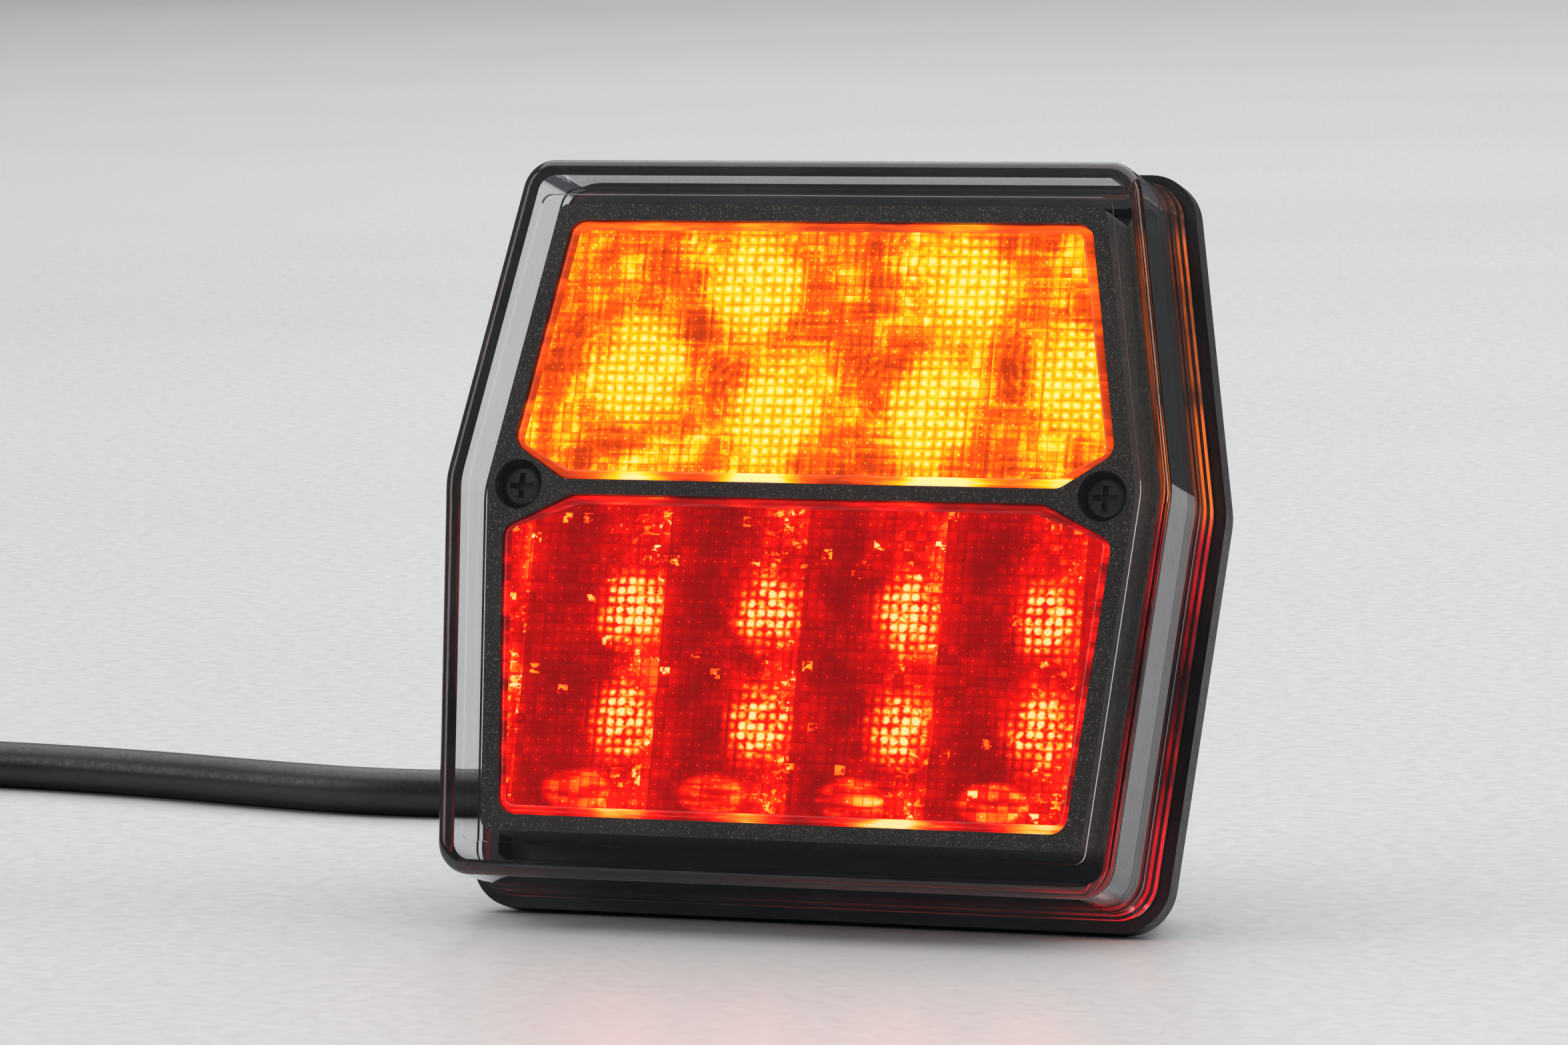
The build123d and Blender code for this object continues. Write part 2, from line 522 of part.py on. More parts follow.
# the cable's end leaves the coil's top turn and runs into the plug
leave_y = coil_y - math.sqrt(coil_out ** 2 - COIL_R ** 2)
end_x = coil_x - COIL_R - END_DRIFT
tail = [
    Vector(coil_x - COIL_R, leave_y, coil_high - CABLE_R),
    Vector(end_x, leave_y - END_RUN, PLUG_R),
    Vector(end_x, leave_y - 2 * END_RUN, PLUG_R),
]
lay_cable("cable_end", tail)

# ---------------------------------------------------------------- plug on the far end
plug_at = Location(Plane(tail[-1] + Vector(0, SOCKET_DEPTH, 0), z_dir=(0, -1, 0), x_dir=(1, 0, 0)))

nut = extrude(RegularPolygon(NUT_R, 6), NUT_L)
nut -= rod(0, 0, -1, SOCKET_DEPTH, CABLE_R)
barrel_low, barrel_high = NUT_L, NUT_L + BARREL_L
collar_low = barrel_high - RING_L - LIP_T - 2 * RING_FIT - COLLAR_T
barrel = rod(0, 0, barrel_low, barrel_high, BARREL_R)
barrel += rod(0, 0, collar_low, collar_low + COLLAR_T, PLUG_R)
for i in range(GRIPS):
    z = barrel_low + GRIP_START + i * GRIP_PITCH
    outside = rod(0, 0, z, z + GRIP_W, PLUG_R)
    barrel -= outside - rod(0, 0, z - 1, z + GRIP_W + 1, BARREL_R - GRIP_DEPTH)

insert_low = barrel_high - CONTACT_L - INSERT_BACK
insert_r = BARREL_R - INSERT_WALL
barrel -= rod(0, 0, insert_low, barrel_high + 1, insert_r)
insert = rod(0, 0, insert_low, barrel_high - INSERT_SUNK, insert_r)
contact_low = barrel_high - CONTACT_L
contacts = []
for i in range(len(CORES)):
    angle = math.radians(90 + 360 / len(CORES) * i)
    x, y = CONTACT_CIRCLE * math.cos(angle), CONTACT_CIRCLE * math.sin(angle)
    insert -= rod(x, y, contact_low, barrel_high + 1, CONTACT_R)
    sleeve = rod(x, y, contact_low, barrel_high - CONTACT_SUNK, CONTACT_R)
    contacts.append(sleeve - rod(x, y, contact_low + CONTACT_BACK, barrel_high + 1, CONTACT_BORE))

ring_low = collar_low + COLLAR_T + RING_FIT
ring_high = ring_low + RING_L
lock_ring = rod(0, 0, ring_low, ring_high, RING_R)
lock_ring -= rod(0, 0, ring_low - 1, ring_high + 1, BARREL_R + RING_FIT)
for i in range(FLUTES):
    flute = rod(RING_R + FLUTE_OUT, 0, ring_low - 1, ring_high - FLUTE_STOP, FLUTE_R)
    lock_ring -= Rot(0, 0, 360 / FLUTES * (i + 0.5)) * flute
for i in range(KEYWAYS):
    keyway = block(RING_R, 0, ring_high - KEYWAY_L, ring_high + 1, 2 * KEYWAY_DEPTH, KEYWAY_W)
    lock_ring -= Rot(0, 0, 90 + 360 / KEYWAYS * i) * keyway
lip_low = ring_high + RING_FIT
lip = rod(0, 0, lip_low, lip_low + LIP_T, LIP_R)
lip -= rod(0, 0, lip_low - 1, lip_low + LIP_T + 1, BARREL_R)
plug = {
    "plug_nut": nut,
    "plug_body": barrel,
    "plug_insert": insert,
    "plug_contacts": group(contacts),
    "plug_lock_ring": lock_ring,
    "plug_snap_ring": lip,
}
for name, shape in plug.items():
    nodes[name] = plug_at * shape
print("lock ring centre", (plug_at * Pos(0, 0, ring_low + RING_L / 2)).position)
stud_middle = -(STUD_LENGTH - STUD_CHAMFER) / 2
print("stud middle", placed(-STUD_SPACING / 2, 0, stud_middle), "back face", placed(0, 0, 0))
print("back face looks along", placed(0, 0, -1) - placed(0, 0, 0), "cable exit", exit_point)

for name, shape in nodes.items():
    export_step(shape, "parts/" + name + ".step")
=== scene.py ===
import json
import math

import bmesh
import bpy
from mathutils import Matrix, Vector


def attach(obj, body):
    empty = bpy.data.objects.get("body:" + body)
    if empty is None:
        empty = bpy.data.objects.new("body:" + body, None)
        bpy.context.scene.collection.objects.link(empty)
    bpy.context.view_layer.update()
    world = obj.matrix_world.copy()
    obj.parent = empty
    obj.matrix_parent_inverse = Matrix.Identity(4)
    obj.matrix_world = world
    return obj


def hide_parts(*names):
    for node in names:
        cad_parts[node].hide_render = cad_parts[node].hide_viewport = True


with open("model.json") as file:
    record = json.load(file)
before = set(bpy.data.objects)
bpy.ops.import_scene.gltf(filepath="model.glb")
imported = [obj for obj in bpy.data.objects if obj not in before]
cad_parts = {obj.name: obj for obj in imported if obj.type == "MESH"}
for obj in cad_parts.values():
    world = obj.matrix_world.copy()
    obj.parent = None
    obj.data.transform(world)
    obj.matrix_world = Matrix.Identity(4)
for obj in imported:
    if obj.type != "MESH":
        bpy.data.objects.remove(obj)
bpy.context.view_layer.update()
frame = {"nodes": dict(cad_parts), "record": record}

MM = 0.001
ACRYLIC_IOR = 1.49
scene = bpy.context.scene
scene.view_settings.view_transform = "Standard"

# ---------------------------------------------------------------- where things are
LEAN = math.radians(16.0)                  # the lamp stands on its drafted lower wall
upright_turn = Matrix.Rotation(math.pi / 2 - LEAN, 4, "X")
mounts = {mount["name"]: mount for mount in frame["record"]["mounts"]}
back_face = Vector(mounts["back_face"]["pos_m"])
# the lamp's own axes: +X to its right, +Y up its face, +Z from its back plane to its front
place = Matrix.Translation((0, back_face.y, back_face.z)) @ upright_turn


def on_lamp(x, y, z):
    """A point in the row frame, in metres, from millimetres on the lamp's own axes."""
    return place @ Vector((x * MM, y * MM, z * MM))


# ---------------------------------------------------------------- camera
CAMERA_AT = Vector((0.34463, -0.9155, 0.1477))
CAMERA_TO = Vector((-0.35924, 0.92804, -0.09838))
CAMERA_UP = Vector((-0.02145, 0.09718, 0.99504))
FOCAL_MM = 172.45

camera = bpy.data.objects.new("camera", bpy.data.cameras.new("camera"))
scene.collection.objects.link(camera)
ahead = CAMERA_TO.normalized()
across = ahead.cross(CAMERA_UP).normalized()
upward = across.cross(ahead)
turned = Matrix((across, upward, -ahead)).transposed().to_4x4()
camera.matrix_world = Matrix.Translation(CAMERA_AT) @ turned
camera.data.lens = FOCAL_MM
camera.data.sensor_width = 36.0
camera.data.clip_start = 0.01
camera.data.clip_end = 100.0
scene.camera = camera


# ---------------------------------------------------------------- shader building
class Shade:
    """A procedural material, built node by node."""

    def __init__(self, name):
        self.material = bpy.data.materials.new(name)
        self.material.use_nodes = True
        self.tree = self.material.node_tree
        self.tree.nodes.clear()
        self.out = self.add("ShaderNodeOutputMaterial")
        self.at = self.add("ShaderNodeTexCoord").outputs["Object"]

    def add(self, kind, inputs=None, **settings):
        node = self.tree.nodes.new(kind)
        for key, value in settings.items():
            setattr(node, key, value)
        for key, value in (inputs or {}).items():
            self.put(node.inputs[key], value)
        return node

    def put(self, socket, value):
        if isinstance(value, bpy.types.NodeSocket):
            self.tree.links.new(value, socket)
        else:
            socket.default_value = value

    def calc(self, operation, *values, clamp=False):
        node = self.add("ShaderNodeMath", operation=operation, use_clamp=clamp)
        for socket, value in zip(node.inputs, values):
            self.put(socket, value)
        return node.outputs[0]

    def span(self, value, low, high, to_low=0.0, to_high=1.0, smooth=True):
        kind = "SMOOTHSTEP" if smooth else "LINEAR"
        node = self.add("ShaderNodeMapRange", interpolation_type=kind)
        for socket, number in zip(node.inputs, (value, low, high, to_low, to_high)):
            self.put(socket, number)
        return node.outputs[0]

    def split(self, vector):
        return self.add("ShaderNodeSeparateXYZ", {"Vector": vector}).outputs

    def join(self, x, y, z=0.0):
        return self.add("ShaderNodeCombineXYZ", {"X": x, "Y": y, "Z": z}).outputs[0]

    def noise(self, scale, detail=3.0, roughness=0.55, at=None, stretch=None):
        at = self.at if at is None else at
        if stretch is not None:
            at = self.add("ShaderNodeMapping", {"Vector": at, "Scale": stretch}).outputs[0]
        settings = {"Vector": at, "Scale": scale, "Detail": detail, "Roughness": roughness}
        return self.add("ShaderNodeTexNoise", settings).outputs[0]

    def random(self, at):
        return self.add("ShaderNodeTexWhiteNoise", {"Vector": at}).outputs["Value"]

    def ramp(self, value, *stops):
        node = self.add("ShaderNodeValToRGB", {"Fac": value})
        elements = node.color_ramp.elements
        while len(elements) < len(stops):
            elements.new(0.5)
        for element, (position, colour) in zip(elements, stops):
            element.position = position
            element.color = (*colour, 1.0)
        return node.outputs["Color"]

    def blend(self, share, first, second):
        node = self.add("ShaderNodeMix", data_type="RGBA")
        self.put(node.inputs["Factor"], share)
        colours = [socket for socket in node.inputs if socket.type == "RGBA"]
        for socket, value in zip(colours, (first, second)):
            self.put(socket, value if isinstance(value, bpy.types.NodeSocket) else (*value, 1.0))
        return [socket for socket in node.outputs if socket.type == "RGBA"][0]

    def bump(self, height, strength, distance):
        inputs = {"Height": height, "Strength": strength, "Distance": distance}
        return self.add("ShaderNodeBump", inputs).outputs[0]

    def plastic(self, inputs):
        inputs = {key: (*value, 1.0) if isinstance(value, tuple) and len(value) == 3 else value
                  for key, value in inputs.items()}
        return self.add("ShaderNodeBsdfPrincipled", inputs).outputs[0]

    def finish(self, shader):
        self.put(self.out.inputs["Surface"], shader)
        return self.material


# ---------------------------------------------------------------- plain moulded materials
def moulded(name, dark, light, rough, grain=900.0, depth=0.02, speckle=None):
    """Moulded plastic or rubber: slightly uneven colour and gloss over a fine grain.

    A speckle colour adds fine lighter specks, as in a metallic black.
    """
    shade = Shade(name)
    cloud = shade.noise(55.0, 4.0)
    fine = shade.noise(grain, 5.0, 0.7)
    colour = shade.blend(shade.span(cloud, 0.35, 0.65), dark, light)
    if speckle:
        dust = shade.noise(4200.0, 1.0, 0.5)
        spark = shade.span(dust, 0.61, 0.66)
        colour = shade.blend(spark, colour, speckle)
    gloss = shade.span(fine, 0.3, 0.7, rough - 0.06, rough + 0.08)
    return shade.finish(shade.plastic({
        "Base Color": colour,
        "Roughness": gloss,
        "Specular IOR Level": 0.45,
        "Normal": shade.bump(fine, 0.35, depth * MM),
    }))


def metal(name, colour, rough):
    """Plated steel or brass with a faint drawn grain."""
    shade = Shade(name)
    fine = shade.noise(600.0, 4.0, 0.6, stretch=(1.0, 0.25, 1.0))
    tint = shade.blend(shade.span(fine, 0.3, 0.7), colour, tuple(c * 0.72 for c in colour))
    return shade.finish(shade.plastic({
        "Base Color": tint,
        "Metallic": 1.0,
        "Roughness": shade.span(fine, 0.3, 0.7, rough - 0.07, rough + 0.1),
        "Normal": shade.bump(fine, 0.25, 0.02 * MM),
    }))


# painted glow standing in for the lenses' light that leaves the clear cover: starts and ends of two
# bands, in millimetres from the lamp's back plane, and how bright each is
PAINTED_FLANGE_GLOW = (19.7, 20.0, 21.0, 21.3, 1.0)
PAINTED_RIM_GLOW = (36.5, 36.7, 36.8, 36.95, 0.22)
PAINTED_GLOW_AMBER, PAINTED_GLOW_RED = (1.0, 0.16, 0.01), (0.75, 0.01, 0.02)


def clear_plastic(name, tint, rough):
    """Clear moulded cover: it bends light as solid acrylic does, and lamps reach what is behind it.

    A painted glow on the flange's and the rim's edges stands in for the lenses' light that runs along
    inside it, more of it on the lamp's right.
    """
    shade = Shade(name)
    calc, span = shade.calc, shade.span
    wave = shade.noise(18.0, 2.0, 0.4)
    leaning = shade.add("ShaderNodeMapping", {"Vector": shade.at, "Rotation": (LEAN - math.pi / 2, 0, 0)})
    moved = {0: leaning.outputs[0], 1: place.inverted().to_translation()}
    x, y, z = shade.split(shade.add("ShaderNodeVectorMath", moved, operation="ADD").outputs[0])
    streak = shade.noise(45.0, 4.0, 0.6, stretch=(0.3, 1.0, 1.0))
    # painted glow: emission bands on the cover's flange and rim edges, brighter on the lamp's right
    painted_glow = None
    for rise, full, fall, end, gain in (PAINTED_FLANGE_GLOW, PAINTED_RIM_GLOW):
        band = calc("MULTIPLY", span(z, rise * MM, full * MM), span(z, fall * MM, end * MM, 1.0, 0.0))
        band = calc("MULTIPLY", band, gain)
        painted_glow = band if painted_glow is None else calc("ADD", painted_glow, band)
    side = span(calc("ABSOLUTE", x), 30 * MM, 42 * MM, 0.12, 1.0)
    right = span(x, -45 * MM, 40 * MM, 0.12, 1.0)
    painted_glow = calc("MULTIPLY", painted_glow, calc("MULTIPLY", side, right))
    painted_glow = calc("MULTIPLY", painted_glow, span(streak, 0.38, 0.62, 0.05, 1.0))
    colour = shade.blend(span(y, -4 * MM, 2 * MM), PAINTED_GLOW_RED, PAINTED_GLOW_AMBER)
    solid = shade.plastic({
        "Base Color": tint,
        "Roughness": rough,
        "IOR": ACRYLIC_IOR,
        "Transmission Weight": 1.0,
        "Normal": shade.bump(wave, 0.08, 0.2 * MM),
    })
    # the painted glow is emitted by the cover itself, added to the clear acrylic
    glow = shade.add("ShaderNodeEmission", {"Color": colour, "Strength": painted_glow}).outputs[0]
    lit = shade.add("ShaderNodeAddShader", {0: solid, 1: glow}).outputs[0]
    lets_light = shade.add("ShaderNodeBsdfTransparent").outputs[0]
    shadow = shade.add("ShaderNodeLightPath").outputs["Is Shadow Ray"]
    mix = shade.add("ShaderNodeMixShader", {0: shadow, 1: lit, 2: lets_light})
    return shade.finish(mix.outputs[0])


# ---------------------------------------------------------------- lit lenses
PILLOW_X, PILLOW_Y = 1.4 * MM, 1.33 * MM   # grid of small pillow optics on each lens
LENS_FRONT, LENS_T, LENS_CORNER = 33.4, 1.6, 2.2
GLOW_SHIFT = Vector((5.6, -2.3, 0.0)) * MM # a lit spot stands this far across the lens from its LED
LED_REACH = 4.5 * MM                       # all of one LED's points lie this close together
RING_PITCH = 1.25 * MM                     # of the faint rings round each amber spot


def led_places(node):
    """Centres of a node's separate LEDs on the lamp's own axes."""
    mesh = frame["nodes"][node].data
    to_lamp = place.inverted()
    points = [to_lamp @ vertex.co for vertex in mesh.vertices]
    groups = []
    for point in points:
        for group in groups:
            if (point.xy - group[0].xy).length < LED_REACH:
                group.append(point)
                break
        else:
            groups.append([point])
    centres = []
    for group in groups:
        low = [min(point[i] for point in group) for i in range(2)]
        high = [max(point[i] for point in group) for i in range(2)]
        centres.append(Vector(((low[0] + high[0]) / 2, (low[1] + high[1]) / 2, 0.0)))
    return centres


def lens_material(name, leds, look, floor_glow):
    """A lens lit from behind: each pillow shows a small picture of the glow behind it."""
    shade = Shade(name)
    calc, span = shade.calc, shade.span
    x, y, _ = shade.split(shade.at)
    u = calc("DIVIDE", x, PILLOW_X)
    v = calc("DIVIDE", y, PILLOW_Y)
    column, row = calc("FLOOR", u), calc("FLOOR", v)
    in_x = calc("SUBTRACT", calc("SUBTRACT", u, column), 0.5)
    in_y = calc("SUBTRACT", calc("SUBTRACT", v, row), 0.5)
    lot = shade.random(shade.join(column, row))
    second_lot = shade.random(shade.join(row, column, 7.0))
    # the pillow's picture of what is behind it reaches past its own edges
    picture_x = calc("ADD", calc("ADD", column, 0.5), calc("MULTIPLY", in_x, look["reach"]))
    picture_y = calc("ADD", calc("ADD", row, 0.5), calc("MULTIPLY", in_y, look["reach"]))
    seen_x, seen_y = calc("MULTIPLY", picture_x, PILLOW_X), calc("MULTIPLY", picture_y, PILLOW_Y)
    seen = shade.join(seen_x, seen_y)
    warp = calc("MULTIPLY", calc("SUBTRACT", shade.noise(240.0, 2.0, at=shade.at), 0.5), look["warp"])
    zone = None
    for led in leds:
        spot = led + GLOW_SHIFT
        away_x = calc("DIVIDE", calc("SUBTRACT", seen_x, spot.x), look["spot"][0])
        away_y = calc("DIVIDE", calc("SUBTRACT", seen_y, spot.y), look["spot"][1])
        away = calc("ADD", calc("MULTIPLY", away_x, away_x), calc("MULTIPLY", away_y, away_y))
        away = calc("ADD", calc("SQRT", away), warp)
        lit = span(away, look["flat"], look["fade"], 1.0, 0.0)
        # the wall between two light pockets ends the lit spot sharply on its right
        past_wall = calc("SUBTRACT", x, spot.x + look["wall"])
        lit = calc("MULTIPLY", lit, span(past_wall, 0.0, 0.5 * MM, 1.0, look["past_wall"]))
        zone = lit if zone is None else calc("MAXIMUM", zone, lit)
    middle = calc("SQRT", calc("ADD", calc("MULTIPLY", in_x, in_x), calc("MULTIPLY", in_y, in_y)))
    dot = span(middle, look["dot"] * 0.45, look["dot"], 1.0, 0.0)
    # painted highlight: a small bright point of random strength at each pillow's middle stands in for the
    # lamps' reflections on the pillows
    painted_pin_highlight = span(middle, 0.05, 0.12, 1.0, 0.0)
    edge = span(calc("MAXIMUM", calc("ABSOLUTE", in_x), calc("ABSOLUTE", in_y)), 0.38, 0.5)
    floor = floor_glow(shade, seen, lot)
    floor = calc("MULTIPLY", floor, span(lot, 0.0, 1.0, 0.78, 1.2, smooth=False))
    shards = shade.noise(620.0, 2.0, 0.6, stretch=(1.0, 1.4, 1.0))
    bright = calc("MULTIPLY", zone, span(shards, 0.38, 0.6, look["shard"], 1.12))
    glow = calc("ADD", calc("MULTIPLY", floor, calc("SUBTRACT", 1.0, zone)),
                calc("MULTIPLY", bright, look["zone_gain"]))
    glow = calc("ADD", glow, calc("MULTIPLY", calc("MULTIPLY", dot, zone), look["dot_gain"]))
    # the painted highlight points are added to the lens's emission
    glow = calc("ADD", glow, calc("MULTIPLY", painted_pin_highlight, span(second_lot, 0.0, 1.0, 0.05, look["painted_pin_highlight"])))
    glow = calc("MULTIPLY", glow, span(edge, 0.0, 1.0, 1.0, look["edge"]))
    colour = shade.ramp(glow, *glowing(look["stops"], look["strength"]))
    dome = calc("SUBTRACT", 1.0, calc("MULTIPLY", middle, middle))
    return shade.finish(shade.plastic({
        "Base Color": look["tint"],
        "Roughness": 0.14,
        "IOR": ACRYLIC_IOR,
        "Specular IOR Level": 0.2,
        "Emission Color": colour,
        "Emission Strength": look["strength"],
        "Normal": shade.bump(dome, 0.5, 0.25 * MM),
    }))


def glowing(stops, strength):
    """Emission colours that show as the given ones, but whose full reds light up the scene more."""
    shown = []
    for at, (red, green, blue) in stops:
        red = red if red >= 1.0 else red / strength
        shown.append((at, (red, green / strength, blue / strength)))
    return shown


def amber_floor(shade, seen, lot):
    """Uneven orange between the lit spots, with faint rings and streaks."""
    calc = shade.calc
    blotch = shade.noise(105.0, 3.0, 0.6, at=seen)
    upright = shade.noise(170.0, 2.0, 0.5, stretch=(4.5, 0.5, 1.0))
    level = shade.noise(170.0, 2.0, 0.5, stretch=(0.5, 4.5, 1.0))
    rings = None
    for led in amber_leds:
        ends = {0: shade.at, 1: led + Vector((0, 0, LENS_FRONT * MM))}
        away = shade.add("ShaderNodeVectorMath", ends, operation="DISTANCE").outputs["Value"]
        ring = calc("MULTIPLY", calc("SINE", calc("DIVIDE", away, RING_PITCH / (2 * math.pi))),
                    shade.span(away, 3 * MM, 11 * MM, 0.07, 0.0))
        rings = ring if rings is None else calc("ADD", rings, ring)
    glow = shade.span(blotch, 0.36, 0.64, 0.22, 0.7)
    glow = calc("ADD", glow, shade.span(upright, 0.38, 0.62, -0.08, 0.08))
    glow = calc("ADD", glow, shade.span(level, 0.38, 0.62, -0.08, 0.08))
    return calc("ADD", glow, rings)


def red_floor(shade, seen, lot):
    """Dark red, brighter towards the right of each light pocket, with orange patches low down."""
    calc, span = shade.calc, shade.span
    x, y, _ = shade.split(shade.at)
    columns = sorted({round(led.x, 5) for led in red_leds})
    pitch = columns[1] - columns[0]
    wall = columns[0] + GLOW_SHIFT.x + RED_LOOK["wall"]
    across = calc("DIVIDE", calc("SUBTRACT", x, wall), pitch)
    across = calc("SUBTRACT", across, calc("FLOOR", across))
    blotch = shade.noise(130.0, 3.0, 0.6, at=seen)
    glow = calc("MULTIPLY", span(across, 0.3, 1.0, 0.2, 0.48), span(blotch, 0.3, 0.7, 0.6, 1.3))
    glow = calc("ADD", glow, span(across, 0.0, 0.3, 0.1, 0.0))
    # scattered glints under and over each lit spot, shaped by the pillows' corners
    sparkle = shade.noise(900.0, 2.0, 0.6, stretch=(1.0, 1.3, 1.0))
    often = span(calc("FRACT", calc("MULTIPLY", lot, 13.0)), 0.35, 0.9, 0.0, 1.0)
    glint = calc("MULTIPLY", often, span(sparkle, 0.5, 0.6, 0.0, 0.4))
    glow = calc("ADD", glow, calc("MULTIPLY", span(across, 0.6, 0.8), glint))
    rare = calc("GREATER_THAN", calc("FRACT", calc("MULTIPLY", lot, 31.0)), 0.975)
    glow = calc("ADD", glow, calc("MULTIPLY", rare, span(sparkle, 0.46, 0.56, 0.0, 0.5)))
    # one orange patch under each column of LEDs, crossed by level lines
    off_x = calc("DIVIDE", calc("SUBTRACT", x, columns[0]), pitch)
    off_x = calc("MULTIPLY", calc("SUBTRACT", off_x, calc("ROUND", off_x)), pitch / (PATCH_W * MM))
    off_y = calc("DIVIDE", calc("SUBTRACT", y, PATCH_Y * MM), PATCH_H * MM)
    away = calc("SQRT", calc("ADD", calc("MULTIPLY", off_x, off_x), calc("MULTIPLY", off_y, off_y)))
    lines = shade.noise(200.0, 2.0, 0.5, stretch=(0.6, 6.0, 1.0))
    patch = calc("MULTIPLY", span(away, 0.75, 1.1, 1.0, 0.0), span(lines, 0.35, 0.6, 0.14, 0.4))
    return calc("ADD", glow, patch)


AMBER_LOOK = dict(
    stops=[
        (0.0, (0.28, 0.004, 0.0)),
        (0.22, (0.7, 0.035, 0.0)),
        (0.4, (1.0, 0.13, 0.0)),
        (0.58, (1.0, 0.42, 0.0)),
        (0.76, (1.0, 0.82, 0.0)),
        (0.98, (1.0, 0.99, 0.4)),
    ],
    strength=2.2, tint=(0.3, 0.05, 0.0), reach=2.6, warp=0.75,
    spot=(6.2 * MM, 7.4 * MM), flat=0.55, fade=1.35, wall=6.2 * MM, past_wall=0.45,
    dot=0.32, zone_gain=0.73, dot_gain=0.3, edge=0.8, shard=0.9, painted_pin_highlight=0.5, border=0.42,
)
RED_LOOK = dict(
    stops=[
        (0.0, (0.05, 0.0, 0.0)),
        (0.2, (0.36, 0.0, 0.0)),
        (0.4, (0.9, 0.001, 0.0)),
        (0.55, (1.0, 0.02, 0.002)),
        (0.72, (1.0, 0.22, 0.006)),
        (0.86, (1.0, 0.6, 0.04)),
        (1.0, (1.0, 0.93, 0.42)),
    ],
    strength=2.2, tint=(0.16, 0.0, 0.0), reach=2.4, warp=0.5,
    spot=(5.4 * MM, 6.2 * MM), flat=0.35, fade=1.1, wall=4.5 * MM, past_wall=0.06,
    dot=0.46, zone_gain=0.76, dot_gain=0.36, edge=0.86, shard=0.62, painted_pin_highlight=0.3, border=0.5,
)
amber_leds = led_places("amber_leds")
red_leds = led_places("red_leds")

# the two lens windows, in millimetres on the lamp's own axes
AMBER = dict(top=34.8, top_half=35.8, side=5.1, side_half=41.3, bottom=0.6, bottom_half=34.2)
PATCH_Y, PATCH_W, PATCH_H = -40.3, 5.0, 2.9 # orange patches: height and half sizes
RED_MIDDLE_Y = -21.4 * MM                   # between the two rows of red LEDs
RED = dict(top=-1.7, top_half=32.5, side=-6.2, side_half=41.8, bottom=-43.7, bottom_half=38.7)


def round_off(points, radius, steps=8):
    """A closed outline with each of its corners rounded."""
    rounded = []
    for i, corner in enumerate(points):
        before, after = points[i - 1], points[(i + 1) % len(points)]
        to_before, to_after = (before - corner).normalized(), (after - corner).normalized()
        half = to_before.angle(to_after) / 2
        centre = corner + (to_before + to_after).normalized() * (radius / math.sin(half))
        start = corner + to_before * (radius / math.tan(half))
        end = corner + to_after * (radius / math.tan(half))
        for step in range(steps + 1):
            way = (start - centre).lerp(end - centre, step / steps).normalized()
            rounded.append(centre + way * radius)
    return rounded


def window_outline(shape, grow, steps=8):
    """A lens window's rounded outline, grown outwards by grow."""
    up = 1 if shape["top"] > shape["bottom"] else -1
    right = [
        Vector((shape["top_half"] + grow, shape["top"] + up * grow)),
        Vector((shape["side_half"] + grow, shape["side"])),
        Vector((shape["bottom_half"] + grow * 0.6, shape["bottom"] - up * grow)),
    ]
    left = [Vector((-point.x, point.y)) for point in reversed(right)]
    return round_off(right + left, max(LENS_CORNER + grow, 0.6), steps)


def new_piece(name, mesh_builder, materials, matrix=None):
    """An object whose mesh a function builds, with its normals put right."""
    mesh = bpy.data.meshes.new(name)
    model = bmesh.new()
    mesh_builder(model)
    bmesh.ops.recalc_face_normals(model, faces=model.faces)
    model.to_mesh(mesh)
    model.free()
    for material in materials:
        mesh.materials.append(material)
    piece = bpy.data.objects.new(name, mesh)
    scene.collection.objects.link(piece)
    if matrix is not None:
        piece.matrix_world = matrix
    return piece


def lens_piece(name, shape, face_material, border_material):
    """A lens plate with a rounded smooth border round its sunk field of pillows."""
    front = LENS_FRONT
    profile = [
        (0.0, front - LENS_T),
        (0.0, front - 0.45),
        (-0.13, front - 0.13),
        (-0.45, front),
        (-0.85, front),
        (-1.0, front - 0.1),
        (-1.1, front - 0.28),
    ]

    def build(model):
        rings = []
        for grow, level in profile:
            outline = window_outline(shape, grow)
            rings.append([model.verts.new((p.x * MM, p.y * MM, level * MM)) for p in outline])
        count = len(rings[0])
        for lower, upper in zip(rings, rings[1:]):
            for i in range(count):
                j = (i + 1) % count
                model.faces.new((lower[i], lower[j], upper[j], upper[i])).material_index = 1
        model.faces.new(rings[-1]).material_index = 0
        model.faces.new(list(reversed(rings[0]))).material_index = 1

    piece = new_piece(name, build, [face_material, border_material], place)
    for polygon in piece.data.polygons:
        polygon.use_smooth = polygon.material_index == 1
    return piece


